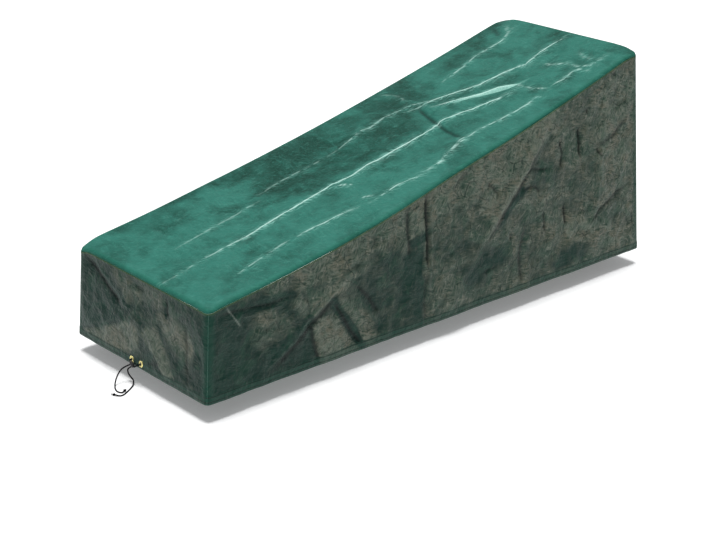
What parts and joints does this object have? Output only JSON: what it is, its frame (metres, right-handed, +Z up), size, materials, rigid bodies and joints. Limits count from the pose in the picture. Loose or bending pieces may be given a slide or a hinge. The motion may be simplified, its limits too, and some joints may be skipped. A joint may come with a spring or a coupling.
{
  "type": "lounge chair cover",
  "caption": "Fitted hollow cover for a reclining lounge chair, low at the foot and rising to a high head end, open at the hem, with a drawcord, cord lock and eyelets at the foot.",
  "frame": {"origin": "underside of the top at the middle of the cover's length and width, where the lounge chair under it holds it up", "axes": "+Z up, +Y from the low foot end to the high head end, +X to the right seen from the foot end"},
  "size_m": [0.7872, 2.2572, 0.8808],
  "materials": {
    "green_sheet": "glossy coated woven sheet",
    "olive_sheet": "glossy coated woven sheet, crumpled",
    "eyelet_brass": "bright pressed brass",
    "black_cord": "braided cord",
    "black_plastic": "moulded, satin"
  },
  "bodies": {
    "root": {"top_panel": "green_sheet", "side_right": "olive_sheet", "side_left": "olive_sheet", "foot_panel": "olive_sheet", "head_panel": "olive_sheet", "eyelet_left": "eyelet_brass", "eyelet_right": "eyelet_brass", "cord_lock": "black_plastic", "cord_lead_left": "black_cord", "cord_lead_right": "black_cord", "cord_left": "black_cord", "cord_right": "black_cord", "knot_left": "black_cord", "knot_right": "black_cord"}
  },
  "joints": []
}
